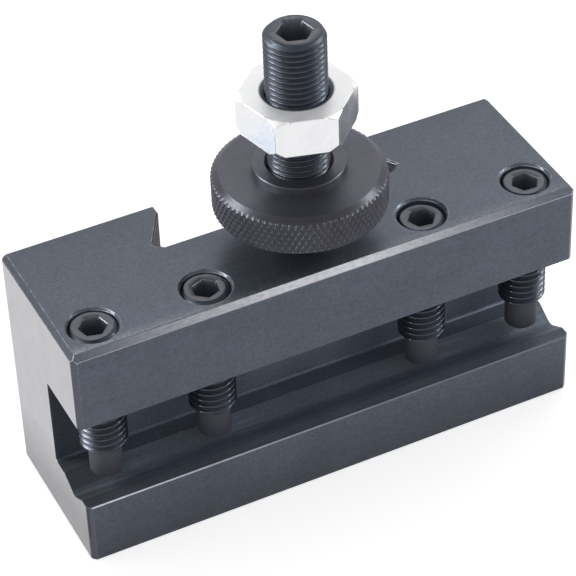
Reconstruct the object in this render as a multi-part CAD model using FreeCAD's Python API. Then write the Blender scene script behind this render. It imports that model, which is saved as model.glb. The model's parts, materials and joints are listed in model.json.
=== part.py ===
import FreeCAD, Part
import math
import os

from FreeCAD import Vector

# Lathe tool holder for a quick-change tool post, in millimetres.
# X runs along the holder, -Y is the front with the tool slot, +Y is the back with the dovetail, +Z is up.
# The origin is the middle of the base: half the length, half the depth, on the face it stands on.

# Holder body, one milled block: its height and depth are the sums of these
body_length = 90.0
lower_jaw = 11.8
slot_height = 17.0
upper_jaw = 15.0
slot_depth = 13.2
web = 5.5
dovetail_depth = 10.5

# Edges of the body: the ends are chamfered at their top and front, and the back and the base only broken
end_chamfer = 0.85
front_bevel = 1.0
edge_break = 0.15
slot_lip_break = 0.3
slot_corner_radius = 0.5

# Groove in the slot floor that seats round shanks under the clamp screws
groove_width = 7.4
groove_angle = 120.0
groove_root_radius = 1.8

# Dovetail that slides down over the tool post
dovetail_mouth = 36.2
dovetail_lip = 1.9
dovetail_angle = 60.0
dovetail_corner_cut = 1.5
dovetail_end_break = 0.3

# Clamp screws with hexagon socket and dog point
screw_diameter = 8.0
screw_length = 30.0
screw_end_chamfer = 0.7
screw_socket_width = 4.0
screw_socket_depth = 4.0
dog_diameter = 5.5
dog_length = 6.0
dog_end_break = 0.4
screw_from_front = 6.2
outer_screw_from_end = 6.2
inner_screw_to_rim = 1.2
screw_hole_countersink = 0.4
tips_above_slot_floor = {
    "clamp_screw_1": 1.8,
    "clamp_screw_2": 1.8,
    "clamp_screw_3": 1.3,
    "clamp_screw_4": 1.5,
}
socket_turns = {
    "clamp_screw_1": 45.0,
    "clamp_screw_2": 20.0,
    "clamp_screw_3": 52.0,
    "clamp_screw_4": 57.0,
    "height_stud": 42.0,
}

# Height stud, a long set screw bottomed in a blind hole of the upper jaw
stud_diameter = 10.0
stud_length = 50.0
stud_end_chamfer = 0.7
stud_socket_width = 5.0
stud_socket_depth = 5.0
stud_hole_depth = 10.5
stud_hole_to_dovetail = 2.7
stud_hole_countersink = 0.5
drill_point_width = 8.0

# Height nut, a disc with a knurled rim and a low boss
rim_diameter = 28.4
rim_thickness = 6.3
rim_top_chamfer_width = 1.3
rim_top_chamfer_height = 0.9
rim_foot_chamfer = 0.25
boss_diameter = 15.2
boss_height = 1.5
boss_edge_break = 0.2
rim_above_body = 7.1

# Hexagon lock nut: its corners are cut back at both faces, flatly at the top and steeply at the foot
lock_nut_width = 17.0
lock_nut_height = 6.6
lock_nut_top_cut = 1.0
lock_nut_top_drop = 0.65
lock_nut_foot_cut = 0.7
lock_nut_foot_rise = 1.15
lock_nut_turn = -16.2
lock_nut_above_boss = 7.1

# Threads are smooth cylinders here, and a threaded hole is this much wider all round
thread_clearance = 0.05
height_nut_countersink = 0.5
lock_nut_countersink = 0.75
drill_point_angle = 120.0

# Places worked out from the sizes above
body_height = lower_jaw + slot_height + upper_jaw
body_depth = slot_depth + web + dovetail_depth
half_length = body_length / 2
front = -body_depth / 2
back = body_depth / 2
slot_floor = lower_jaw
slot_ceiling = lower_jaw + slot_height
slot_wall = front + slot_depth
dovetail_floor = back - dovetail_depth
screw_radius = screw_diameter / 2
screw_y = front + screw_from_front
inner_screw_x = rim_diameter / 2 + inner_screw_to_rim + screw_radius
outer_screw_x = half_length - outer_screw_from_end
stud_radius = stud_diameter / 2
stud_y = dovetail_floor - stud_hole_to_dovetail - stud_radius
stud_foot = body_height - stud_hole_depth
rim_foot = body_height + rim_above_body
lock_nut_foot = rim_foot + rim_thickness + boss_height + lock_nut_above_boss

screw_places = {
    "clamp_screw_1": -outer_screw_x,
    "clamp_screw_2": -inner_screw_x,
    "clamp_screw_3": inner_screw_x,
    "clamp_screw_4": outer_screw_x,
}


def prism(points, along):
    """Extrude the closed outline through the points along a vector."""
    outline = Part.makePolygon(points + [points[0]])
    return Part.Face(outline).extrude(along)


def turned(profile, x, y, z):
    """Turn a closed profile of (radius, height) pairs about the upright line through x and y."""
    points = [Vector(x + radius, y, z + height) for radius, height in profile]
    outline = Part.makePolygon(points + [points[0]])
    return Part.Face(outline).revolve(Vector(x, y, z), Vector(0, 0, 1), 360)


def hexagon(width, turn, x, y, z, height):
    """Upright hexagonal prism, its width measured across the flats."""
    corner_radius = width / math.sqrt(3)
    points = []
    for corner in range(6):
        angle = math.radians(turn + 60 * corner)
        points.append(Vector(x + corner_radius * math.cos(angle), y + corner_radius * math.sin(angle), z))
    return prism(points, Vector(0, 0, height))


def drill_point(width, x, y, z):
    """Cone that a drill leaves under a hole of this width that ends at height z."""
    height = width / 2 / math.tan(math.radians(drill_point_angle / 2))
    return Part.makeCone(0, width / 2, height, Vector(x, y, z - height))


def key_socket(width, depth, turn, x, y, top):
    """Hexagon socket for a key, with its drill point."""
    socket = hexagon(width, turn, x, y, top - depth, depth)
    return socket.fuse(drill_point(width, x, y, top - depth))


def threaded_hole(thread_radius, countersink, x, y, bottom, top, open_below):
    """Hole for a thread between two faces, countersunk where it comes out."""
    radius = thread_radius + thread_clearance
    wide = radius + countersink
    hole = Part.makeCylinder(radius, top - bottom, Vector(x, y, bottom))
    hole = hole.fuse(Part.makeCone(radius, wide, countersink, Vector(x, y, top - countersink)))
    if open_below:
        hole = hole.fuse(Part.makeCone(wide, radius, countersink, Vector(x, y, bottom)))
    return hole


def end_section():
    """Outline of the body seen from its end: two jaws, and the slot with its grooved floor."""
    flank_tilt = math.radians(90 - groove_angle / 2)
    half_groove = groove_width / 2
    groove_point = slot_floor - half_groove * math.tan(flank_tilt)
    root_arc_centre = groove_point + groove_root_radius / math.cos(flank_tilt)
    root_start = groove_root_radius * math.sin(flank_tilt)
    root_start_z = root_arc_centre - groove_root_radius * math.cos(flank_tilt)
    corner_middle = slot_corner_radius * (1 - math.sqrt(0.5))

    def at(y, z):
        return Vector(-half_length, y, z)

    groove_front = at(screw_y - half_groove, slot_floor)
    root_front = at(screw_y - root_start, root_start_z)
    root_low = at(screw_y, root_arc_centre - groove_root_radius)
    root_back = at(screw_y + root_start, root_start_z)
    groove_back = at(screw_y + half_groove, slot_floor)
    floor_corner = [
        at(slot_wall - slot_corner_radius, slot_floor),
        at(slot_wall - corner_middle, slot_floor + corner_middle),
        at(slot_wall, slot_floor + slot_corner_radius),
    ]
    ceiling_corner = [
        at(slot_wall, slot_ceiling - slot_corner_radius),
        at(slot_wall - corner_middle, slot_ceiling - corner_middle),
        at(slot_wall - slot_corner_radius, slot_ceiling),
    ]
    outside = [
        at(front + slot_lip_break, slot_ceiling),
        at(front, slot_ceiling + slot_lip_break),
        at(front, body_height - front_bevel),
        at(front + front_bevel, body_height),
        at(back - edge_break, body_height),
        at(back, body_height - edge_break),
        at(back, edge_break),
        at(back - edge_break, 0),
        at(front + edge_break, 0),
        at(front, edge_break),
        at(front, slot_floor - slot_lip_break),
        at(front + slot_lip_break, slot_floor),
    ]
    edges = [
        Part.LineSegment(groove_front, root_front).toShape(),
        Part.Arc(root_front, root_low, root_back).toShape(),
        Part.LineSegment(root_back, groove_back).toShape(),
        Part.LineSegment(groove_back, floor_corner[0]).toShape(),
        Part.Arc(*floor_corner).toShape(),
        Part.LineSegment(floor_corner[2], ceiling_corner[0]).toShape(),
        Part.Arc(*ceiling_corner).toShape(),
    ]
    edges += Part.makePolygon([ceiling_corner[2]] + outside + [groove_front]).Edges
    return Part.Face(Part.Wire(edges))


def top_block():
    """Block with the body's outline seen from above, chamfered at its front and broken at its back."""
    half = half_length
    return prism(
        [
            Vector(-half, front + end_chamfer, 0),
            Vector(-half + end_chamfer, front, 0),
            Vector(half - end_chamfer, front, 0),
            Vector(half, front + end_chamfer, 0),
            Vector(half, back - edge_break, 0),
            Vector(half - edge_break, back, 0),
            Vector(-half + edge_break, back, 0),
            Vector(-half, back - edge_break, 0),
        ],
        Vector(0, 0, body_height),
    )


def front_block():
    """Block with the body's outline seen from the front, chamfered at its top and broken at its base."""
    half = half_length
    return prism(
        [
            Vector(-half + edge_break, front, 0),
            Vector(half - edge_break, front, 0),
            Vector(half, front, edge_break),
            Vector(half, front, body_height - end_chamfer),
            Vector(half - end_chamfer, front, body_height),
            Vector(-half + end_chamfer, front, body_height),
            Vector(-half, front, body_height - end_chamfer),
            Vector(-half, front, edge_break),
        ],
        Vector(0, body_depth, 0),
    )


def dovetail_outline(grow, z):
    """Half-open trapezium of the dovetail at height z, its walls moved outwards by grow."""
    flank_tilt = math.radians(90 - dovetail_angle)
    mouth = dovetail_mouth / 2 + grow
    lip_y = back - dovetail_lip + grow * math.tan(flank_tilt / 2)
    floor_y = dovetail_floor - grow
    cut_y = floor_y + dovetail_corner_cut
    widest = mouth + (lip_y - cut_y) * math.tan(flank_tilt)
    floor_end = widest - dovetail_corner_cut
    past_back = back + edge_break + grow
    side = [
        (mouth, past_back),
        (mouth, lip_y),
        (widest, cut_y),
        (floor_end, floor_y),
    ]
    points = [Vector(x, y, z) for x, y in side]
    points += [Vector(-x, y, z) for x, y in reversed(side)]
    return Part.makePolygon(points + [points[0]])


def dovetail_cut():
    """Dovetail through the whole height, opened a little wider where it meets the top and the base."""
    wide_low = dovetail_outline(dovetail_end_break, 0)
    true_low = dovetail_outline(0, dovetail_end_break)
    true_high = dovetail_outline(0, body_height - dovetail_end_break)
    wide_high = dovetail_outline(dovetail_end_break, body_height)
    cut = Part.Face(true_low).extrude(Vector(0, 0, body_height - 2 * dovetail_end_break))
    cut = cut.fuse(Part.makeLoft([wide_low, true_low], True, True))
    return cut.fuse(Part.makeLoft([true_high, wide_high], True, True))


def holder_body():
    """The milled block with its slot, dovetail, screw holes and stud hole."""
    body = end_section().extrude(Vector(body_length, 0, 0))
    body = body.common(top_block()).common(front_block())
    body = body.cut(dovetail_cut())
    for x in screw_places.values():
        body = body.cut(
            threaded_hole(screw_radius, screw_hole_countersink, x, screw_y, slot_ceiling, body_height, True)
        )
    stud_hole = threaded_hole(stud_radius, stud_hole_countersink, 0, stud_y, stud_foot, body_height, False)
    stud_hole = stud_hole.fuse(drill_point(drill_point_width, 0, stud_y, stud_foot))
    return body.cut(stud_hole).removeSplitter()


def clamp_screw(name):
    """Set screw that presses the tool down with its dog point."""
    x = screw_places[name]
    tip = slot_floor + tips_above_slot_floor[name]
    dog_radius = dog_diameter / 2
    inner = screw_radius - screw_end_chamfer
    blank = turned(
        [
            (0, 0),
            (dog_radius - dog_end_break, 0),
            (dog_radius, dog_end_break),
            (dog_radius, dog_length),
            (inner, dog_length),
            (screw_radius, dog_length + screw_end_chamfer),
            (screw_radius, screw_length - screw_end_chamfer),
            (inner, screw_length),
            (0, screw_length),
        ],
        x, screw_y, tip,
    )
    top = tip + screw_length
    return blank.cut(key_socket(screw_socket_width, screw_socket_depth, socket_turns[name], x, screw_y, top))


def height_stud():
    """Long set screw that stands up from the body and carries both nuts."""
    inner = stud_radius - stud_end_chamfer
    blank = turned(
        [
            (0, 0),
            (inner, 0),
            (stud_radius, stud_end_chamfer),
            (stud_radius, stud_length - stud_end_chamfer),
            (inner, stud_length),
            (0, stud_length),
        ],
        0, stud_y, stud_foot,
    )
    top = stud_foot + stud_length
    turn = socket_turns["height_stud"]
    return blank.cut(key_socket(stud_socket_width, stud_socket_depth, turn, 0, stud_y, top))


def height_nut():
    """Disc whose rim rests on the tool post and sets the height of the holder."""
    rim_radius = rim_diameter / 2
    boss_radius = boss_diameter / 2
    height = rim_thickness + boss_height
    blank = turned(
        [
            (0, 0),
            (rim_radius - rim_foot_chamfer, 0),
            (rim_radius, rim_foot_chamfer),
            (rim_radius, rim_thickness - rim_top_chamfer_height),
            (rim_radius - rim_top_chamfer_width, rim_thickness),
            (boss_radius, rim_thickness),
            (boss_radius, height - boss_edge_break),
            (boss_radius - boss_edge_break, height),
            (0, height),
        ],
        0, stud_y, rim_foot,
    )
    return blank.cut(
        threaded_hole(stud_radius, height_nut_countersink, 0, stud_y, rim_foot, rim_foot + height, True)
    )


def lock_nut():
    """Hexagon nut that is tightened down on the height nut, its corners turned off at both faces."""
    corner_radius = lock_nut_width / math.sqrt(3)
    envelope = turned(
        [
            (0, 0),
            (corner_radius - lock_nut_foot_cut, 0),
            (corner_radius, lock_nut_foot_rise),
            (corner_radius, lock_nut_height - lock_nut_top_drop),
            (corner_radius - lock_nut_top_cut, lock_nut_height),
            (0, lock_nut_height),
        ],
        0, stud_y, lock_nut_foot,
    )
    blank = hexagon(lock_nut_width, lock_nut_turn, 0, stud_y, lock_nut_foot, lock_nut_height)
    top = lock_nut_foot + lock_nut_height
    return blank.common(envelope).cut(
        threaded_hole(stud_radius, lock_nut_countersink, 0, stud_y, lock_nut_foot, top, True)
    )


nodes = {"holder_body": holder_body()}
for screw_name in screw_places:
    nodes[screw_name] = clamp_screw(screw_name)
nodes["height_stud"] = height_stud()
nodes["height_nut"] = height_nut()
nodes["lock_nut"] = lock_nut()

os.makedirs("parts", exist_ok=True)
for node_name, shape in nodes.items():
    shape.exportStep("parts/" + node_name + ".step")
    box = shape.BoundBox
    print(
        node_name, len(shape.Solids), "solid", round(shape.Volume, 1), "mm3",
        "z", round(box.ZMin, 2), "to", round(box.ZMax, 2), "valid", shape.isValid(),
    )
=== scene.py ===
# %% [markdown]
# A lathe tool holder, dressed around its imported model.
# The real thing is a blackened steel block that slides onto a tool post by its dovetail and clamps a
# tool in its slot. Four set screws press the tool down, and a stud carries a knurled nut, which sets the
# height, and a zinc plated lock nut. The scene is in metres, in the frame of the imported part. Sizes of the
# holder are written in millimetres, as on a drawing, and turned into metres where they are used.
# The frame could be redrawn by eye, but loading it means that a piece goes where the part says.

import bmesh
import bpy
import json
import math
from mathutils import Matrix, Vector

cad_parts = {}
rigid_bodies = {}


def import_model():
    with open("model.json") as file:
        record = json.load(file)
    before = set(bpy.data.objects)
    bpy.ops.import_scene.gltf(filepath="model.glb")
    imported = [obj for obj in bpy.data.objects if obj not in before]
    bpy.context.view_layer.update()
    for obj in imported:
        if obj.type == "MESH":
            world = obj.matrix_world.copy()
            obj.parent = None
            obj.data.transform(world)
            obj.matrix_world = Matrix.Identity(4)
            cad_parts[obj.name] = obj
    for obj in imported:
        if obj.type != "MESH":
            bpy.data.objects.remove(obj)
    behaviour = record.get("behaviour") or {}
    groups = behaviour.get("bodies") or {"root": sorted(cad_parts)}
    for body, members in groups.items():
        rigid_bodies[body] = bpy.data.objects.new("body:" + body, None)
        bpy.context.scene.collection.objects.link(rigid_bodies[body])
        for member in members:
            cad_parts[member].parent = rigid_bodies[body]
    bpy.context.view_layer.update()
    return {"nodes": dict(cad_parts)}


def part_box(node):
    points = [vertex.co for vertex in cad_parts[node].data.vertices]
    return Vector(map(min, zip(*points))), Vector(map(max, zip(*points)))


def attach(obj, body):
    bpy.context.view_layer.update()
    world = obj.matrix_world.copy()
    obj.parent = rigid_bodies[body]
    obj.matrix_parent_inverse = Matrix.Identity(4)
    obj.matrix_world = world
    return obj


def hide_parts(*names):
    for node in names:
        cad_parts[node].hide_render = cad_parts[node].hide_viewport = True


for leftover in list(bpy.data.objects):
    bpy.data.objects.remove(leftover)

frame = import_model()
nodes = frame["nodes"]
MM = 0.001


def box_in_mm(node):
    """Lowest and highest corner of a node of the part, in millimetres."""
    return [Vector(corner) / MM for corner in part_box(node)]


# %% [markdown]
# The camera stands where the photographer stood. Its place was found by matching corners of the block,
# rims of the nuts and ends of the screws, so it looks down at 40 degrees from the front left, from
# 42 cm away, and leans a little to one side. A camera could also be aimed with a constraint, but a
# matrix made from its own three directions says exactly which way it leans.

# %% Camera
photo_width = 576
focal_pixels = 2671.45
sensor_width = 36.0
camera_azimuth = math.radians(-24.97)
camera_elevation = math.radians(39.78)
camera_roll = math.radians(-2.31)
camera_distance = 421.32 * MM
camera_target = Vector((-7.927, -14.6, 43.545)) * MM

to_camera = Vector((
    math.sin(camera_azimuth) * math.cos(camera_elevation),
    -math.cos(camera_azimuth) * math.cos(camera_elevation),
    math.sin(camera_elevation),
))
level_right = Vector((math.cos(camera_azimuth), math.sin(camera_azimuth), 0))
level_up = to_camera.cross(level_right)
right = math.cos(camera_roll) * level_right + math.sin(camera_roll) * level_up
up = math.cos(camera_roll) * level_up - math.sin(camera_roll) * level_right

lens = bpy.data.cameras.new("camera")
lens.sensor_width = sensor_width
lens.lens = focal_pixels * sensor_width / photo_width
lens.clip_start = 0.01
lens.clip_end = 20
camera = bpy.data.objects.new("camera", lens)
bpy.context.scene.collection.objects.link(camera)
turn = Matrix((right, up, to_camera)).transposed().to_4x4()
camera.matrix_world = Matrix.Translation(camera_target + camera_distance * to_camera) @ turn
bpy.context.scene.camera = camera
bpy.context.scene.view_settings.view_transform = "Standard"
print("lens", round(lens.lens, 1), "mm, camera at", [round(v, 3) for v in camera.matrix_world.translation])

# %% [markdown]
# Finishes are drawn with nodes, and short helpers keep each of them readable. The first few add a node and
# do one step of arithmetic, so a rule such as "rougher inside the slot" reads as one line.
# Nodes could be placed one by one by hand, but then the same five lines would come back for each of them.

# %% Helpers for arithmetic
def add(tree, kind, inputs=None, **settings):
    """Add a node, set its options, and join or fill its sockets."""
    made = tree.nodes.new(kind)
    for option, value in settings.items():
        setattr(made, option, value)
    for socket, value in (inputs or {}).items():
        if isinstance(value, bpy.types.NodeSocket):
            tree.links.new(value, made.inputs[socket])
        else:
            made.inputs[socket].default_value = value
    return made


def sum_of(tree, operation, first, second=0.0, third=0.0):
    """One step of arithmetic on two or three values."""
    return add(tree, "ShaderNodeMath", {0: first, 1: second, 2: third}, operation=operation).outputs[0]


def product(tree, *values):
    """All the values multiplied together."""
    result = values[0]
    for value in values[1:]:
        result = sum_of(tree, "MULTIPLY", result, value)
    return result


def total(tree, *values):
    """All the values added together."""
    result = values[0]
    for value in values[1:]:
        result = sum_of(tree, "ADD", result, value)
    return result


def raised(tree, base, share, amount):
    """Base with an amount added to it, as far as a share from 0 to 1 says."""
    return sum_of(tree, "MULTIPLY_ADD", share, amount, base)


def either(tree, first, second):
    """The larger of two values."""
    return sum_of(tree, "MAXIMUM", first, second)


def over(tree, value, limit):
    """1 where a value is over a limit, and 0 elsewhere."""
    return sum_of(tree, "GREATER_THAN", value, limit)


def under(tree, value, limit):
    """1 where a value is under a limit, and 0 elsewhere."""
    return sum_of(tree, "LESS_THAN", value, limit)


def without_sign(tree, value):
    """A value without its sign, so that left and right count alike."""
    return sum_of(tree, "ABSOLUTE", value)


def spread(tree, value, low, high, to_low=0.0, to_high=1.0):
    """Stretch the part of a value between low and high to a new range, and hold it at the ends."""
    sockets = {"Value": value, "From Min": low, "From Max": high, "To Min": to_low, "To Max": to_high}
    return add(tree, "ShaderNodeMapRange", sockets).outputs["Result"]


print("arithmetic ready")

# %% [markdown]
# The rest of the helpers say where a finish applies and what it looks like there. They read the place on
# the part, the direction a surface faces, and noise, and they mix, darken and lighten colours.
# Masks could be painted by hand too, but a rule about place and direction still fits when a size changes.

# %% Helpers for colour and place
def colour(red, green, blue):
    """A colour with full cover."""
    return (red, green, blue, 1.0)


def mixed(tree, share, first, second):
    """Colour between two others."""
    return add(tree, "ShaderNodeMix", {0: share, 6: first, 7: second}, data_type="RGBA").outputs[2]


def scaled(tree, base, factor):
    """Colour made darker or lighter by a value."""
    if isinstance(base, tuple):
        base = base[:3]
    return add(tree, "ShaderNodeVectorMath", {0: base, 3: factor}, operation="SCALE").outputs[0]


def shaded(tree, base, where, factor):
    """Colour made darker or lighter by a factor where a value is 1."""
    return scaled(tree, base, spread(tree, where, 0.0, 1.0, 1.0, factor))


def millimetres(tree, stretch=(1, 1, 1), centre=(0, 0, 0)):
    """Place on the part in millimetres from a centre, each axis multiplied by its stretch."""
    place = add(tree, "ShaderNodeTexCoord").outputs["Object"]
    place = add(tree, "ShaderNodeVectorMath", {0: place, 1: (1 / MM,) * 3, 2: [-c for c in centre]},
                operation="MULTIPLY_ADD").outputs[0]
    return add(tree, "ShaderNodeVectorMath", {0: place, 1: stretch}, operation="MULTIPLY").outputs[0]


def apart_of(tree, vector):
    """The three parts of a vector, by their letters."""
    return add(tree, "ShaderNodeSeparateXYZ", {"Vector": vector}).outputs


def within(tree, along, half_width, depths, heights):
    """1 inside a box that reaches as far left as right, between two depths and two heights, 0 outside."""
    return product(tree, over(tree, along["Y"], depths[0]), under(tree, along["Y"], depths[1]),
                   over(tree, along["Z"], heights[0]), under(tree, along["Z"], heights[1]),
                   under(tree, without_sign(tree, along["X"]), half_width))


def from_axis(tree, along):
    """Distance from the upright axis through the centre of the place."""
    across = add(tree, "ShaderNodeCombineXYZ", {"X": along["X"], "Y": along["Y"]}).outputs[0]
    return add(tree, "ShaderNodeVectorMath", {0: across}, operation="LENGTH").outputs["Value"]


def cloud(tree, place, grain, detail=3.0):
    """Soft noise from 0 to 1, its patches about one grain across in millimetres."""
    sockets = {"Vector": place, "Scale": 1 / grain, "Detail": detail, "Roughness": 0.55}
    return add(tree, "ShaderNodeTexNoise", sockets).outputs["Fac"]


def faces_towards(tree, direction, least=0.985):
    """1 where the surface faces along a direction of the part, and 0 elsewhere."""
    facing = add(tree, "ShaderNodeTexCoord").outputs["Normal"]
    along_it = add(tree, "ShaderNodeVectorMath", {0: facing, 1: Vector(direction).normalized()},
                   operation="DOT_PRODUCT").outputs["Value"]
    return over(tree, along_it, least)


def new_finish(name):
    """Empty finish, with its node tree and its shader."""
    finish = bpy.data.materials.new(name)
    finish.use_nodes = True
    tree = finish.node_tree
    return finish, tree, tree.nodes["Principled BSDF"]


def raise_grain(tree, shader, heights, depth):
    """Turn the height of the grain into bump on the shader."""
    sockets = {"Height": heights, "Strength": 1.0, "Distance": depth}
    tree.links.new(add(tree, "ShaderNodeBump", sockets).outputs["Normal"], shader.inputs["Normal"])


print("helpers ready")

# %% [markdown]
# The holder stands on a white table in a white room, as small metal parts are photographed, so the steel
# has something bright to mirror. The table keeps the holder's soft shadow.
# A lit table comes out a light grey, so to the camera and in the metal's mirror images it glows a little,
# and its open parts reach white. It could be a curved backdrop, but only its flat part would ever be seen.

# %% Table
table_reach = 1.5
table_gap = 0.02 * MM
glow_to_camera = 0.53
glow_in_metal = 0.30

outline = bmesh.new()
bmesh.ops.create_grid(outline, x_segments=8, y_segments=8, size=table_reach)
bmesh.ops.translate(outline, verts=outline.verts, vec=(0, 0, -table_gap))
sheet = bpy.data.meshes.new("table")
outline.to_mesh(sheet)
outline.free()
table = bpy.data.objects.new("table", sheet)
bpy.context.scene.collection.objects.link(table)

table_white, tree, shader = new_finish("table_white")
shader.inputs["Base Color"].default_value = colour(0.86, 0.86, 0.87)
shader.inputs["Roughness"].default_value = 0.9
shader.inputs["Specular IOR Level"].default_value = 0.0
shader.inputs["Emission Color"].default_value = colour(1, 1, 1)
seen = add(tree, "ShaderNodeLightPath").outputs
glow = product(tree, seen["Is Glossy Ray"], glow_in_metal)
glow = raised(tree, glow, seen["Is Camera Ray"], glow_to_camera)
tree.links.new(glow, shader.inputs["Emission Strength"])
sheet.materials.append(table_white)
print("table", 2 * table_reach, "m square")

# %% [markdown]
# The room is white round its walls, dimmer overhead, so the upper flanks of a thread stay dark and its
# crests stay light, and dimmer behind the camera, so the front of the block stays dark. To the camera
# itself the room is plain white.
# One even world would be simpler, but polished threads would look like plain grey tubes in it. So a soft box
# stands behind, and four smaller ones left and right, which only show in gloss, put the glints on threads.

# %% Room and soft boxes
wall_level = 1.0
ceiling_level = 0.35
front_share = 0.55
bounce_level = 0.74
holder_middle = Vector((0, 0, 35 * MM))

world = bpy.data.worlds.new("white_room")
bpy.context.scene.world = world
world.use_nodes = True
tree = world.node_tree
direction = apart_of(tree, add(tree, "ShaderNodeTexCoord").outputs["Generated"])
mirrored = product(tree, spread(tree, direction["Z"], 0.70, 0.96, wall_level, ceiling_level),
                   spread(tree, direction["Y"], -0.9, -0.4, front_share, 1.0))
seen = add(tree, "ShaderNodeLightPath").outputs
level = add(tree, "ShaderNodeMix", {0: seen["Is Diffuse Ray"], 2: mirrored, 3: bounce_level}).outputs[0]
level = add(tree, "ShaderNodeMix", {0: seen["Is Camera Ray"], 2: level, 3: 1.0}).outputs[0]
tree.links.new(level, tree.nodes["Background"].inputs["Strength"])
tree.nodes["Background"].inputs["Color"].default_value = colour(1, 1, 1)


def soft_box(name, azimuth, elevation, width, height, watts, distance=0.80, only_glints=True):
    """Rectangular lamp that faces the holder, azimuth in degrees from +X towards +Y."""
    turn, tilt = math.radians(azimuth), math.radians(elevation)
    outwards = Vector((math.cos(turn) * math.cos(tilt), math.sin(turn) * math.cos(tilt), math.sin(tilt)))
    lamp = bpy.data.lights.new(name, "AREA")
    lamp.shape = "RECTANGLE"
    lamp.size = width
    lamp.size_y = height
    lamp.energy = watts
    box = bpy.data.objects.new(name, lamp)
    bpy.context.scene.collection.objects.link(box)
    aim = outwards.to_track_quat("Z", "Y").to_matrix().to_4x4()
    box.matrix_world = Matrix.Translation(holder_middle + distance * outwards) @ aim
    box.visible_camera = False
    box.visible_diffuse = not only_glints
    return box


soft_boxes = [
    soft_box("soft_box_left", 150, 32, 0.30, 0.40, 7.5),
    soft_box("soft_box_low_left", 186, 12, 0.26, 0.20, 2.4),
    soft_box("soft_box_right", 350, 32, 0.16, 0.34, 3.0),
    soft_box("soft_box_low_right", 318, 10, 0.20, 0.16, 1.5),
    soft_box("soft_box_back", 65, 42, 1.00, 0.60, 1.1, distance=0.90, only_glints=False),
]
print("room and", len(soft_boxes), "soft boxes")

# %% [markdown]
# The block is ground steel, blackened in a hot salt bath. The oxide is thin and not quite a mirror: part
# of its bluish dark grey is a reflection of the room and part is scattered light, so it is drawn half as
# metal, and its cavities don't go fully black. The grinding shows through as fine streaks along the block.
# Painted light and shade make it a shade lighter towards the front and darker towards its foot.
# A plain dark grey would do for a far view, but near by it would look like plastic.

# %% Blackened block oxide
block_low, block_high = box_in_mm("holder_body")
half_length = block_high.x
front_face, back_face, top_face = block_low.y, block_high.y, block_high.z
oxide_black = colour(0.078, 0.092, 0.119)
oxide_pale = colour(0.090, 0.105, 0.134)
oxide_metal = 0.5
end_margin = 0.03

blackened_block, tree, shader = new_finish("blackened_block")
place = millimetres(tree)
along = apart_of(tree, place)
patches = cloud(tree, place, 9.0)
specks = cloud(tree, place, 0.45, 2.0)
streaks = cloud(tree, millimetres(tree, (0.06, 2.2, 2.2)), 1.0, 4.0)
oxide = mixed(tree, spread(tree, patches, 0.35, 0.65), oxide_black, oxide_pale)
# painted shade: darker towards the back, and darker towards the foot
oxide = scaled(tree, oxide, product(tree, spread(tree, specks, 0.25, 0.75, 0.80, 1.20),
                                    spread(tree, streaks, 0.25, 0.75, 0.93, 1.07),
                                    spread(tree, along["Y"], back_face, front_face, 0.80, 1.04),
                                    spread(tree, along["Z"], 1.0, 13.0, 0.64, 1.0)))

shader.inputs["Metallic"].default_value = oxide_metal
roughness = total(tree, spread(tree, streaks, 0.3, 0.7, 0.30, 0.40),
                  spread(tree, patches, 0.3, 0.7, -0.03, 0.03))
raise_grain(tree, shader, raised(tree, specks, streaks, 0.8), 0.004 * MM)
print("block from", [round(v, 2) for v in block_low], "to", [round(v, 2) for v in block_high], "mm")

# %% [markdown]
# Inside the slot the oxide is rougher, so it looks dull. Painted light makes it paler on the two slopes of
# the groove and on the floor behind them than on the strip in front, and painted shade keeps it dark at the
# left mouth. To the right of each screw the back slope has a lighter patch, a painted reflection.
# The four patches could be drawn one by one, but the screws' places in the frame say where each one lies.

# %% Painted light in the slot
slot_back = -1.0
slot_foot, slot_roof = 5.0, 29.0
groove_half = 3.7
edge_blur = 0.2
strip_shade, front_slope_shade = 1.05, 1.80
back_slope_step, back_floor_step = -0.40, 0.35
patch_start, patch_full, patch_end = 3.0, 5.0, 11.0
patch_reflection = 0.60
slot_dullness = 0.30

screw_places = []
for number in (1, 2, 3, 4):
    low, high = box_in_mm("clamp_screw_" + str(number))
    screw_places.append((low + high) / 2)
groove_middle = screw_places[0].y
groove_front, groove_back = groove_middle - groove_half, groove_middle + groove_half

in_slot = within(tree, along, half_length - end_margin, (front_face + 0.5, slot_back),
                 (slot_foot, slot_roof))
# painted light and shade across the floor and the groove of the slot
slot_painted_light = spread(tree, along["Y"], groove_front - edge_blur, groove_front + edge_blur,
                    strip_shade, front_slope_shade)
on_back_slope = spread(tree, along["Y"], groove_middle - 0.6, groove_middle + edge_blur)
slot_painted_light = raised(tree, slot_painted_light, on_back_slope, back_slope_step)
on_back_floor = spread(tree, along["Y"], groove_back - edge_blur, groove_back + edge_blur)
slot_painted_light = raised(tree, slot_painted_light, on_back_floor, back_floor_step)
on_slope = product(tree, over(tree, along["Y"], groove_middle + edge_blur),
                   under(tree, along["Y"], groove_back - 0.1))
# a painted reflection: a lighter patch to the right of each screw
for screw_place in screw_places:
    past_screw = sum_of(tree, "SUBTRACT", along["X"], screw_place.x)
    painted_patch = product(tree, on_slope, spread(tree, past_screw, patch_start, patch_full),
                  spread(tree, past_screw, patch_end, patch_full), spread(tree, streaks, 0.42, 0.62), patch_reflection)
    slot_painted_light = total(tree, slot_painted_light, painted_patch)
# painted shade towards the left mouth of the slot
left_mouth_shade = spread(tree, along["X"], 1.0 - half_length, 14.0 - half_length, 0.35, 0.95)
slot_painted_light = product(tree, slot_painted_light, left_mouth_shade)
oxide = scaled(tree, oxide, raised(tree, 1.0, in_slot, sum_of(tree, "SUBTRACT", slot_painted_light, 1.0)))
roughness = raised(tree, roughness, in_slot, slot_dullness)
print("groove at", round(groove_middle, 2), "mm, screws at", [round(spot.x, 1) for spot in screw_places])
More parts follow.
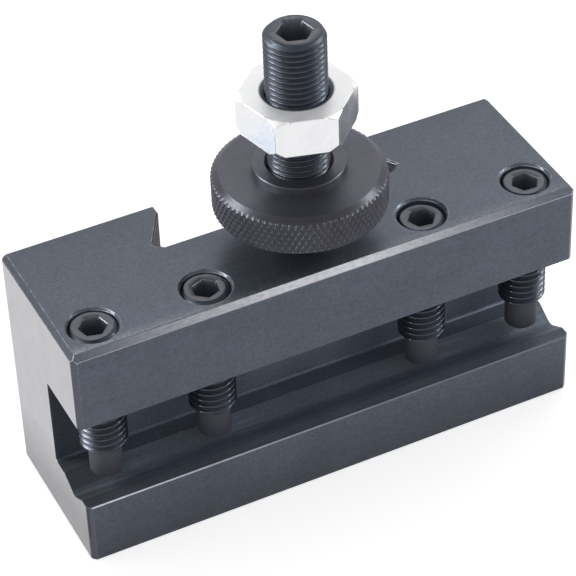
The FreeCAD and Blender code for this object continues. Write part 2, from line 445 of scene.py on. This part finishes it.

# %% [markdown]
# The two ends are drawn in a pale steel grey, a painted reflection of the bright room that they mirror at a
# slant. They have a cloudy grain, and painted shade makes them darker towards the front foot. The chamfers
# round their top are rough from the file, and painted shade makes them dark; on the two upright ones at the
# front a violet tint is a painted reflection. The floor of the dovetail is rubbed a little bright by the tool
# post, while its undercut flanks and its top edge are dull, and painted shade keeps them dark.
# Those places are found from where they lie and which way they face, with no painted picture.

# %% Pale ends with painted reflection, and dovetail
violet_reflection = colour(0.088, 0.078, 0.096)
chamfer_shade = 0.55
chamfer_dullness = 0.35
end_reflection_grey = colour(0.535, 0.53, 0.555)
slide_steel = colour(0.15, 0.155, 0.17)
foot_shade = 0.60
scuff_place = (-45.0, 7.1, 12.8)
hair = 0.02
dovetail_floor, dovetail_half_width = 4.0, 22.4
flank_start = 18.3
top_break = 0.9
flank_dullness = 0.30
flank_shade = 0.55

end_chamfer = either(tree, faces_towards(tree, (-1, 0, 1)), faces_towards(tree, (1, 0, 1)))
# painted shade: the chamfers round the top of the ends drawn darker
oxide = shaded(tree, oxide, end_chamfer, chamfer_shade)
roughness = raised(tree, roughness, end_chamfer, chamfer_dullness)
upright_chamfer = either(tree, faces_towards(tree, (-1, -1, 0)), faces_towards(tree, (1, -1, 0)))
# painted reflection: a violet tint on the upright chamfers
oxide = mixed(tree, product(tree, upright_chamfer, 0.5), oxide, violet_reflection)

on_end = over(tree, without_sign(tree, along["X"]), half_length - end_margin)
end_clouds = spread(tree, cloud(tree, place, 3.5, 5.0), 0.3, 0.7, 0.95, 1.04)
leaning_height = raised(tree, along["Z"], along["Y"], 0.25)
scuff = add(tree, "ShaderNodeVectorMath", {0: place, 1: scuff_place}, operation="DISTANCE").outputs["Value"]
# painted shade towards the front foot, over the real grain and scuff
end_tone_and_shade = product(tree, end_clouds, spread(tree, leaning_height, 5.0, 16.0, foot_shade, 1.0),
                    spread(tree, scuff, 0.2, 1.3, 0.88, 1.0))
# painted reflection: the ends drawn in pale steel grey
ends = scaled(tree, end_reflection_grey, end_tone_and_shade)

in_dovetail = within(tree, along, dovetail_half_width, (dovetail_floor, back_face - hair),
                     (hair, top_face - hair))
by_top = product(tree, in_dovetail, over(tree, along["Z"], top_face - top_break))
on_flank = product(tree, in_dovetail, over(tree, without_sign(tree, along["X"]), flank_start))
on_flank = either(tree, on_flank, by_top)
slide_grain = cloud(tree, millimetres(tree, (3.0, 3.0, 0.15)), 1.0, 3.0)
slide = scaled(tree, slide_steel, spread(tree, slide_grain, 0.3, 0.7, 0.85, 1.12))
# painted shade on the undercut flanks and the top edge of the dovetail
slide = shaded(tree, slide, on_flank, flank_shade)
roughness = raised(tree, raised(tree, roughness, on_flank, flank_dullness), by_top, flank_dullness)
tree.links.new(roughness, shader.inputs["Roughness"])
print("ends and dovetail ready")

# %% [markdown]
# The long bevel at the top front was broken by hand after the bath. It shows bare bluish steel, brightest
# in the middle of the holder and fading towards both ends, and the polish runs a little onto the top,
# mostly at the left. The lip of the lower jaw is rubbed too, mostly at the left, where tools are pushed in.
# The bevel could have a finish of its own, but its polish fades into the oxide, so one finish draws both.

# %% Rubbed bevel and lip
bevel_steel = colour(0.80, 0.81, 0.86)
bevel_width = 1.05
upper_jaw, lower_jaw = 40.0, 12.0
rub_middle = 2.0
under_lip_rub = 0.25

facing_bevel = faces_towards(tree, (0, -1, 1))
on_top = over(tree, along["Z"], upper_jaw)
in_front = under(tree, along["Y"], front_face + bevel_width)
strokes = spread(tree, cloud(tree, millimetres(tree, (0.9, 5.0, 1.6)), 1.0, 4.0), 0.3, 0.7, 0.72, 1.22)
from_middle = without_sign(tree, total(tree, along["X"], rub_middle))
fading = sum_of(tree, "POWER", spread(tree, from_middle, 4.0, 44.0, 1.0, 0.08), 1.45)
bevel_rub = product(tree, facing_bevel, on_top, in_front, fading, strokes)
near_bevel = product(tree, faces_towards(tree, (0, 0, 1)), on_top,
                     sum_of(tree, "POWER", spread(tree, along["Y"], front_face + 3.2, front_face + 1.0), 1.6),
                     spread(tree, along["X"], -44.0, -12.0, 1.5, 0.5),
                     spread(tree, specks, 0.3, 0.7, 0.05, 0.18))

lip_fading = sum_of(tree, "POWER", spread(tree, along["X"], -40.0, 30.0, 1.0, 0.0), 2.2)
lip_rub = product(tree, facing_bevel, under(tree, along["Z"], lower_jaw), in_front, strokes,
                  raised(tree, 0.10, lip_fading, 0.85))
under_lip = product(tree, faces_towards(tree, (0, -1, -1)), in_front, under_lip_rub)
rubbed = total(tree, bevel_rub, near_bevel, lip_rub, under_lip)

block_colour = mixed(tree, rubbed, oxide, bevel_steel)
block_colour = mixed(tree, in_dovetail, block_colour, slide)
block_colour = mixed(tree, on_end, block_colour, ends)
tree.links.new(block_colour, shader.inputs["Base Color"])
print("finish:", blackened_block.name)

# %% [markdown]
# On the broken outer edges the oxide has chipped, so they are a thin line of small light specks. The lower
# edge of the long bevel is rubbed through, its upper edge only a little, and the corner at its left end is
# painted bright as a glint. The top edges of the ends are duller. Edges in the slot and at the foot are
# protected and stay black.
# The wear could be one even line, but chips of many sizes are what tells a used edge from a drawn one.

# %% Worn edge finish, with a painted glint
edge_steel = colour(0.42, 0.43, 0.46)
chip_share = 0.35
end_edge_dullness = 0.35

worn_edge_and_glint, tree, shader = new_finish("worn_edge_and_glint")
place = millimetres(tree)
along = apart_of(tree, place)
chips = spread(tree, cloud(tree, place, 0.9, 4.0), 0.42, 0.66)
high_up = over(tree, along["Z"], top_face - 1.2)
at_ends = over(tree, without_sign(tree, along["X"]), half_length - 1.0)
up_the_ends = product(tree, at_ends, spread(tree, along["Z"], 10.0, top_face, 0.0, 0.5))
bare_and_glint = product(tree, either(tree, high_up, up_the_ends), chips, chip_share)
by_bevel = product(tree, high_up, under(tree, along["Y"], front_face + 0.4))
bare_and_glint = raised(tree, bare_and_glint, by_bevel, 0.75)
# painted glint on the corner at the left end of the bevel
bare_and_glint = either(tree, bare_and_glint, faces_towards(tree, (-1, -1, 1), 0.93))
on_upper_line = product(tree, high_up, under(tree, along["Y"], front_face + 1.4), 0.12)
bare_and_glint = either(tree, bare_and_glint, on_upper_line)
tree.links.new(mixed(tree, bare_and_glint, oxide_pale, edge_steel), shader.inputs["Base Color"])
shader.inputs["Metallic"].default_value = oxide_metal
on_end_edge = product(tree, high_up, at_ends, over(tree, along["Y"], front_face + 1.0))
roughness = raised(tree, spread(tree, chips, 0.0, 1.0, 0.40, 0.30), on_end_edge, end_edge_dullness)
tree.links.new(roughness, shader.inputs["Roughness"])
print("finish:", worn_edge_and_glint.name)

# %% [markdown]
# The block's shape is right as it comes from the part, so its own model stays. A real ground edge is
# never a knife edge, so a narrow bevel goes round every edge and takes the finish of a worn edge, which
# catches the light as a thin line. The block could be modelled again, but then it might drift from the part.

# %% Holder block
block_edge_round = 0.09 * MM


def ease_edges(piece, width, least_angle, finish_number=-1):
    """Round the edges sharper than an angle; finish number -1 keeps the finish that lies beside them."""
    ease = piece.modifiers.new("ease_edges", "BEVEL")
    ease.width = width
    ease.segments = 2
    ease.limit_method = "ANGLE"
    ease.angle_limit = math.radians(least_angle)
    ease.use_clamp_overlap = False
    ease.harden_normals = True
    ease.material = finish_number


block = nodes["holder_body"]
block.data.materials.clear()
block.data.materials.append(blackened_block)
block.data.materials.append(worn_edge_and_glint)
weld = block.modifiers.new("join_faces", "WELD")
weld.merge_threshold = 0.001 * MM
ease_edges(block, block_edge_round, 22, finish_number=1)
print("block:", len(block.data.polygons), "faces before the edges are eased")

# %% [markdown]
# Screws, stud and nuts are all round, so each is described by columns of points: one column says how the
# surface runs from the middle of its foot, up its outside and into its socket, and the columns stand
# round the axis. A thread is a profile that climbs by one pitch in a turn, so where the last column meets
# the first one again, its rows join a whole turn higher.
# A Screw modifier could wind a thread too, but it can't cut the thread off cleanly at the screw's ends.

# %% Skin round an axis
def ring_point(centre, angle, radius, height):
    """Point at an angle and radius round the axis through centre, at a height in millimetres."""
    x = centre[0] + radius * math.cos(angle)
    y = centre[1] + radius * math.sin(angle)
    return Vector((x, y, height)) * MM


def skin(name, columns, finish, thread_rows=(0, 0), rows_per_turn=0, sharp_angle=50, crests=None):
    """Close the columns into one skin; rows of a thread join one turn higher at the seam."""
    shell = bmesh.new()
    # each point's mark: wear on thread crests, painted light in sockets, painted glints on the knurl
    wear = shell.verts.layers.float.new("crest")
    posts = [[shell.verts.new(point) for point in column] for column in columns]
    if crests:
        for post, heights in zip(posts, crests):
            for corner, value in zip(post, heights):
                corner[wear] = value
    first, last = thread_rows
    for number, left in enumerate(posts):
        right = posts[(number + 1) % len(posts)]
        climb = rows_per_turn if number == len(posts) - 1 else 0
        for row in range(len(left) - 1):
            low, high = row, row + 1
            if first <= row < last:
                low, high = min(row + climb, last), min(row + 1 + climb, last)
            corners = list(dict.fromkeys((left[row], right[low], right[high], left[row + 1])))
            shell.faces.new(corners)
    bmesh.ops.remove_doubles(shell, verts=shell.verts, dist=0.0005 * MM)
    mesh = bpy.data.meshes.new(name)
    shell.to_mesh(mesh)
    open_edges = sum(1 for edge in shell.edges if len(edge.link_faces) != 2)
    volume = shell.calc_volume(signed=True) / MM ** 3
    shell.free()
    mesh.shade_smooth()
    mesh.set_sharp_from_angle(angle=math.radians(sharp_angle))
    mesh.materials.append(finish)
    piece = bpy.data.objects.new(name, mesh)
    bpy.context.scene.collection.objects.link(piece)
    print(name, len(mesh.polygons), "faces,", round(volume), "mm3,", open_edges, "open edges")
    return piece


def stand_in(piece, body, node):
    """Let a piece ride on its body and hide the node of the part whose place it takes."""
    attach(piece, body)
    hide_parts(node)


def hexagon_reach(width, angle):
    """How far a hexagon with a corner at angle 0 reaches from its middle at an angle."""
    sixth = math.pi / 3
    return width / 2 / math.cos(angle % sixth - sixth / 2)


print("skin ready")

# %% [markdown]
# A metric thread has flanks at 60 degrees to each other. On a rolled screw its crests are well rounded, and
# each crest shows a thin curved glint of every lamp. Its roots are rounded too. The profile is a short
# list: how far along the pitch, and how deep below the crest, both as shares of the pitch. An arc makes
# the crest, down to where its slope is that of the flank. The same list serves the screws and the stud.

# %% Thread profile
flank_slope = math.sqrt(3)
crest_round = 0.19
crest_arc = [(crest_round * math.sin(tilt), crest_round * (1 - math.cos(tilt)))
             for tilt in map(math.radians, (0, 15, 30, 45, 60))]
arc_end, arc_depth = crest_arc[-1]
flank_end = 0.44
root_curve = [(0.47, 0.602), (0.50, 0.613)]
half_profile = crest_arc + [(flank_end, arc_depth + flank_slope * (flank_end - arc_end))] + root_curve
mirrored_half = [(1 - share, depth) for share, depth in reversed(half_profile[1:-1])]
thread_profile = half_profile + mirrored_half
thread_depth = half_profile[-1][1]
chamfer_wear = 0.55


def depth_at(share):
    """Depth of the thread profile at a share of the pitch."""
    closed = thread_profile + [(1.0, 0.0)]
    for (start, first), (end, second) in zip(closed, closed[1:]):
        if start <= share <= end:
            return first + (second - first) * (share - start) / (end - start)
    return 0.0


def threaded_rows(angle, radius, pitch, low, high, end_radius):
    """Radius, height and crest wear of every row of a thread between two heights, both ends chamfered."""
    rows = []
    turns = math.ceil((high - low) / pitch) + 2
    for pitch_number in range(turns):
        for share, depth in thread_profile:
            height = low + pitch * (pitch_number - 1 + share + angle / (2 * math.pi))
            held = min(max(height, low), high)
            chamfer = end_radius + min(held - low, high - held)
            share_now = ((held - low) / pitch - angle / (2 * math.pi)) % 1.0
            drop = depth if held == height else depth_at(share_now)
            reach = radius - pitch * drop
            wear = 1.0 - drop / thread_depth if reach < chamfer else chamfer_wear
            rows.append((min(reach, chamfer), held, wear))
    return rows


print("thread profile:", len(thread_profile), "rows for each pitch")

# %% [markdown]
# The set screws and the stud came out of the same black oxide bath, on rolled thread, so they are
# smoother and blacker than the block. The crests have been through a nut or a tapped hole, so they are
# rubbed a little brighter and smoother, and old oil keeps the roots dark and dull.
# The skin writes down a number for each point, and the finish reads it back: from 0 in a root to 1 on a
# crest, more on the ring round the socket, most inside the socket, and less than 0 on the dog point.
# Inside the socket the colour is lighter, painted light in the recess.
# Each of them could be a piece with a finish of its own, but a real screw is one piece.

# %% Blackened screw finish
face_wear = 1.5
socket_light_mark = 2.5
dog_wear = -1.0
root_black = colour(0.038, 0.047, 0.064)
crest_black = colour(0.060, 0.068, 0.086)
face_grey = colour(0.092, 0.097, 0.113)
socket_painted_light = colour(0.120, 0.140, 0.185)
dog_grey = colour(0.082, 0.083, 0.098)
turned_dullness = 0.20

blackened_screws, tree, shader = new_finish("blackened_screws")
place = millimetres(tree)
mottle = cloud(tree, place, 1.1, 3.0)
crest = add(tree, "ShaderNodeAttribute", attribute_name="crest").outputs["Fac"]
on_face = spread(tree, crest, 1.0, face_wear)
in_socket = spread(tree, crest, 1.6, socket_light_mark)
on_dog = spread(tree, crest, 0.0, dog_wear)
rubbed = product(tree, spread(tree, crest, 0.60, 1.0), spread(tree, mottle, 0.3, 0.7, 0.6, 1.0))
screw_black = mixed(tree, rubbed, root_black, crest_black)
screw_black = mixed(tree, on_face, screw_black, face_grey)
# painted light inside the socket
screw_black = mixed(tree, in_socket, screw_black, socket_painted_light)
screw_black = mixed(tree, on_dog, screw_black, dog_grey)
screw_black = scaled(tree, screw_black, spread(tree, mottle, 0.3, 0.7, 0.90, 1.10))
tree.links.new(screw_black, shader.inputs["Base Color"])
shader.inputs["Metallic"].default_value = 0.55
roughness = total(tree, spread(tree, crest, 0.3, 0.95, 0.60, 0.12),
                  spread(tree, mottle, 0.3, 0.7, -0.02, 0.04))
roughness = raised(tree, raised(tree, roughness, on_dog, turned_dullness), on_face, turned_dullness)
tree.links.new(roughness, shader.inputs["Roughness"])
raise_grain(tree, shader, cloud(tree, place, 0.3, 2.0), 0.002 * MM)
print("finish:", blackened_screws.name)

# %% [markdown]
# A set screw is threaded over its whole length but for its foot, which is turned down to a plain dog
# point that presses on the tool. A hexagon socket is pressed into its head, with a small lead-in at its
# mouth and the cone of the drill at its bottom. One function makes all four, because they are alike but
# for their places, their heights and how far each was last turned.

# %% Clamp screws
columns_round = 96
screw_pitch = 1.25
screw_end_radius = 3.5
screw_face_radius = 3.15
screw_socket = (4.0, 4.0)
screw_turns = (45.0, 20.0, 52.0, 57.0)
dog_radius = 2.75
dog_length = 6.0
dog_break = 0.4
socket_lead = 0.18
drill_cone = 1 / math.tan(math.radians(60))


def socket_rows(width, depth, angle, top, face_radius):
    """Radius, height and mark of a head's rows, painted light marked in the socket: flat ring, lead-in, walls
    of the socket and drill cone.
    """
    reach = hexagon_reach(width, angle)
    floor = top - depth
    return [
        (face_radius, top, face_wear),
        (reach + socket_lead, top, face_wear),
        (reach, top - socket_lead, face_wear),
        (reach, floor, socket_light_mark),
        (width / 2, floor, socket_light_mark),
        (0.0, floor - width / 2 * drill_cone, socket_light_mark),
    ]


def threaded_piece(name, node, foot, pitch, end_radius, face_radius, socket, degrees):
    """Piece in the place of a node: its foot, its thread, and its socket with a width and a depth."""
    low, high = box_in_mm(node)
    centre, radius, top = (low + high) / 2, (high.x - low.x) / 2, high.z
    columns, crests = [], []
    for number in range(columns_round):
        angle = 2 * math.pi * number / columns_round
        thread = threaded_rows(angle, radius, pitch, foot[-1][1], top, end_radius)
        rows = foot + thread + socket_rows(*socket, angle, top, face_radius)
        turned = angle + math.radians(degrees)
        columns.append([ring_point(centre, turned, reach, height) for reach, height, _ in rows])
        crests.append([mark_value for _, _, mark_value in rows])
    thread_rows = (len(foot), len(foot) + len(thread) - 1)
    return skin(name, columns, blackened_screws, thread_rows, len(thread_profile), crests=crests)


for number, degrees in enumerate(screw_turns, start=1):
    node = "clamp_screw_" + str(number)
    tip = box_in_mm(node)[0].z
    foot = [
        (0.0, tip, dog_wear / 2),
        (dog_radius - dog_break, tip, dog_wear / 2),
        (dog_radius, tip + dog_break, dog_wear / 2),
        (dog_radius, tip + dog_length, dog_wear),
    ]
    screw = threaded_piece("set_screw_" + str(number), node, foot, screw_pitch, screw_end_radius,
                           screw_face_radius, screw_socket, degrees)
    stand_in(screw, node, node)

# %% [markdown]
# The stud is a long set screw with a fine thread, tightened into a blind hole of the block. Both nuts
# turn on it. It could be a plain rod, but its thread is what the eye meets first above the nuts.

# %% Height stud
stud_pitch = 1.0
stud_end_radius = 4.3
stud_socket = (5.0, 5.0)
stud_turn = 42.0
stud_low, stud_high = box_in_mm("height_stud")
stud_axis = (stud_low + stud_high) / 2

stud = threaded_piece("threaded_stud", "height_stud", [(0.0, stud_low.z, 0.0)], stud_pitch, stud_end_radius,
                      stud_end_radius, stud_socket, stud_turn)
stand_in(stud, "holder", "height_stud")

# %% [markdown]
# The height nut is a disc with a diamond knurl, so it can be set by hand. It was turned first, which
# left fine rings on its top, then knurled, then blackened. Its boss was faced smoother than its rim,
# because the lock nut is tightened down on it. Turned rings draw every reflection out across them, so the
# shader is told that the grain runs round the axis, and the boss mirrors the room in light crescents.
# The rings could be modelled, but they are finer than a hair, so the distance to the axis draws them.

# %% Knurled nut finish
nut_low, nut_high = box_in_mm("height_nut")
rim_foot = nut_low.z
boss_top = nut_high.z
rim_radius = (nut_high.x - nut_low.x) / 2
boss_height = 1.5
rim_top = boss_top - boss_height
rim_edge = 1.25
rim_shade = 0.74
nut_dark = colour(0.064, 0.066, 0.085)
nut_pale = colour(0.078, 0.080, 0.101)
glint_grey = colour(0.20, 0.20, 0.22)
boss_smoothness = -0.08

knurled_black, tree, shader = new_finish("knurled_black")
place = millimetres(tree, centre=(stud_axis.x, stud_axis.y, 0))
along = apart_of(tree, place)
mottle = cloud(tree, place, 2.5, 4.0)
reach = from_axis(tree, along)
ring_place = add(tree, "ShaderNodeCombineXYZ", {"X": product(tree, reach, 5.0),
                                                "Z": product(tree, along["Z"], 0.4)}).outputs[0]
rings = cloud(tree, ring_place, 1.0, 2.0)
crest = add(tree, "ShaderNodeAttribute", attribute_name="crest").outputs["Fac"]
nicks = spread(tree, cloud(tree, place, 0.7, 3.0), 0.45, 0.62)
nut_grey = mixed(tree, spread(tree, mottle, 0.3, 0.7), nut_dark, nut_pale)
# painted glints on the top edge of the rim and on its chamfer, broken by nicks
nut_grey = mixed(tree, product(tree, crest, nicks), nut_grey, glint_grey)
nut_grey = scaled(tree, nut_grey, spread(tree, rings, 0.3, 0.7, 0.94, 1.06))
# painted shade: the rim's side and chamfer drawn darker than the top
nut_grey = shaded(tree, nut_grey, over(tree, reach, rim_radius - rim_edge), rim_shade)
tree.links.new(nut_grey, shader.inputs["Base Color"])
shader.inputs["Metallic"].default_value = oxide_metal
on_boss = over(tree, along["Z"], boss_top - hair)
roughness = raised(tree, spread(tree, rings, 0.3, 0.7, 0.34, 0.42), on_boss, boss_smoothness)
tree.links.new(roughness, shader.inputs["Roughness"])
shader.inputs["Anisotropic"].default_value = 0.75
shader.inputs["Anisotropic Rotation"].default_value = 0.25
round_the_axis = add(tree, "ShaderNodeTangent", direction_type="RADIAL", axis="Z").outputs["Tangent"]
tree.links.new(round_the_axis, shader.inputs["Tangent"])
raise_grain(tree, shader, raised(tree, rings, mottle, 0.3), 0.003 * MM)
print("finish:", knurled_black.name)

# %% [markdown]
# The knurl is two families of slanted grooves that cross, and what they leave between them are small
# diamonds, 82 round the rim and about 1.9 mm tall. The rim is laid out on a net whose meshes divide a
# diamond evenly, so every groove runs along the net's diagonals and stays crisp. The knurl was rolled
# before the top edge was chamfered, so it stops at the chamfer.
# A displacement from a texture could do it as well, but its edges would be blurred and its rim ragged.

# %% Knurled height nut
diamonds = 82
net = 8
chamfer_width = 1.3
chamfer_height = 0.9
foot_chamfer = 0.25
diamond_height = 2 * math.pi * rim_radius / diamonds / math.tan(math.radians(30))
groove_depth = 0.21
tip_flat = 0.9
boss_radius = 7.6
boss_break = 0.12
bore_radius = 5.05
bore_sink = 0.5
# painted glints: the marks for the rim's top edge and its chamfer
edge_glint = 0.8
chamfer_glint = 0.15


def knurl_height(column, row):
    """Height of the knurl, 0 in a groove and 1 on a diamond's tip, at a crossing of the net."""
    first = (column + row) % net / net
    second = (column - row) % net / net
    groove = max(abs(2 * first - 1), abs(2 * second - 1))
    return min((1 - groove) / (1 - tip_flat * 0.5), 1.0)


def knurled_rows(column):
    """Rows of the rim from its foot to its top chamfer, each with its radius, height and painted glint."""
    rows = []
    step = diamond_height / net
    chamfer_start = rim_top - chamfer_height
    count = math.ceil((chamfer_start - rim_foot) / step)
    for row in range(count + 1):
        height = min(rim_foot + row * step, chamfer_start)
        tip = knurl_height(column, row)
        reach = rim_radius - groove_depth * (1 - tip)
        foot_limit = rim_radius - foot_chamfer + (height - rim_foot)
        rows.append((min(reach, foot_limit), height, edge_glint * tip if row == count else 0.0))
    for share in (0.25, 0.5, 0.75, 1.0):
        reach = rim_radius - chamfer_width * share
        height = chamfer_start + chamfer_height * share
        rows.append((min(reach, rows[-1][0]), height, chamfer_glint * (1 - share)))
    return rows


inside_of_nut = [
    (bore_radius, boss_top - bore_sink, 0.0),
    (bore_radius, rim_foot + bore_sink, 0.0),
    (bore_radius + bore_sink, rim_foot, 0.0),
]
boss_of_nut = [
    (boss_radius, rim_top, 0.0),
    (boss_radius, boss_top - boss_break, 0.0),
    (boss_radius - boss_break, boss_top, 0.0),
    (bore_radius + bore_sink, boss_top, 0.0),
    (bore_radius, boss_top - bore_sink, 0.0),
]
columns, crests = [], []
for column in range(diamonds * net):
    angle = 2 * math.pi * column / (diamonds * net)
    rows = inside_of_nut + knurled_rows(column) + boss_of_nut
    columns.append([ring_point(stud_axis, angle, reach, height) for reach, height, _ in rows])
    crests.append([mark_value for _, _, mark_value in rows])
height_nut = skin("knurled_height_nut", columns, knurled_black, sharp_angle=24, crests=crests)
stand_in(height_nut, "height_nut", "height_nut")

# %% [markdown]
# The lock nut is bright zinc plate over steel. The plating is nearly white, with a faint cloudy bloom
# over it, and it mirrors the table and the block in its flats. Its top is an even white in the photo, so
# it is drawn duller than the flats, and painted shade makes it a little darker. The mouth of its hole is
# painted darker, as painted shade round the foot of the stud.
# A plain glossy grey would do for a far view, but here the bloom shows what the metal is.

# %% Zinc plate finish
zinc_white = colour(0.88, 0.885, 0.90)
bloom_white = colour(0.93, 0.932, 0.935)
mouth_painted_shade = colour(0.13, 0.15, 0.19)
mouth_radius = 5.75
mouth_blur = 0.3
flat_metal, top_metal = 0.9, 0.5
top_dullness = 0.28

zinc_plate, tree, shader = new_finish("zinc_plate")
place = millimetres(tree, centre=(stud_axis.x, stud_axis.y, 0))
reach = from_axis(tree, apart_of(tree, place))
bloom = cloud(tree, place, 2.2, 4.0)
spots = cloud(tree, place, 0.6, 3.0)
on_top = faces_towards(tree, (0, 0, 1), 0.75)
zinc = mixed(tree, spread(tree, bloom, 0.35, 0.65), zinc_white, bloom_white)
zinc = scaled(tree, zinc, spread(tree, spots, 0.25, 0.75, 0.97, 1.02))
# painted shade: the top drawn a little darker
zinc = shaded(tree, zinc, on_top, 0.95)
# painted shade in the mouth of the hole, round the foot of the stud
zinc = mixed(tree, spread(tree, reach, mouth_radius, mouth_radius + mouth_blur), mouth_painted_shade, zinc)
tree.links.new(zinc, shader.inputs["Base Color"])
tree.links.new(spread(tree, on_top, 0.0, 1.0, flat_metal, top_metal), shader.inputs["Metallic"])
roughness = raised(tree, spread(tree, bloom, 0.3, 0.7, 0.14, 0.24), on_top, top_dullness)
tree.links.new(roughness, shader.inputs["Roughness"])
raise_grain(tree, shader, total(tree, bloom, spots), 0.004 * MM)
print("finish:", zinc_plate.name)

# %% [markdown]
# A hexagon nut's corners are turned off at both ends, flatly at the top and more steeply at the foot,
# which leaves a curved edge on each flat. The cut is made by reading how far the hexagon reaches at each
# angle and lowering its edge there. Its upright corners are rounded by a small radius, with extra columns
# close to them. Its hole opens in a countersink that is wider than the stud.
# A hexagon could be cut by a cone instead, but then its corners would have to be rounded afterwards.

# %% Lock nut
nut_width = 17.0
nut_turn = math.radians(-16.2)
corner_radius = nut_width / math.sqrt(3)
corner_round = 0.4
half_corner = math.cos(math.radians(30))
top_cut, top_drop = 1.0, 0.65
foot_cut, foot_rise = 0.7, 1.15
mouth_depth = 0.40
lock_edge_round = 0.12 * MM
near_corner = (-1.2, -0.6, 0.0, 0.6, 1.2)
between = tuple(range(4, 57, 4))
lock_low, lock_high = box_in_mm("lock_nut")
bottom, top = lock_low.z, lock_high.z


def rounded_reach(degrees):
    """How far the nut reaches at an angle from its nearest corner, the corner being rounded."""
    away = math.radians(degrees)
    centre = (nut_width / 2 - corner_round) / half_corner
    side = centre * math.sin(away)
    if abs(side) < corner_round * 0.5 * centre / (centre + corner_round * half_corner):
        return centre * math.cos(away) + math.sqrt(corner_round ** 2 - side ** 2)
    return hexagon_reach(nut_width, abs(away))


columns = []
for sixth in range(6):
    for degrees in near_corner + between:
        reach = rounded_reach(degrees if degrees < 30 else 60 - degrees)
        top_reach = min(reach, corner_radius - top_cut)
        foot_reach = min(reach, corner_radius - foot_cut)
        rows = [
            (bore_radius, top - mouth_depth),
            (bore_radius, bottom + mouth_depth),
            (mouth_radius, bottom),
            (foot_reach, bottom),
            (reach, bottom + (reach - foot_reach) * foot_rise / foot_cut),
            (reach, top - (reach - top_reach) * top_drop / top_cut),
            (top_reach, top),
            (mouth_radius, top),
            (bore_radius, top - mouth_depth),
        ]
        angle = math.radians(60 * sixth + degrees) + nut_turn
        columns.append([ring_point(stud_axis, angle, out, height) for out, height in rows])
lock_nut = skin("zinc_lock_nut", columns, zinc_plate, sharp_angle=30)
ease_edges(lock_nut, lock_edge_round, 24)
stand_in(lock_nut, "lock_nut", "lock_nut")
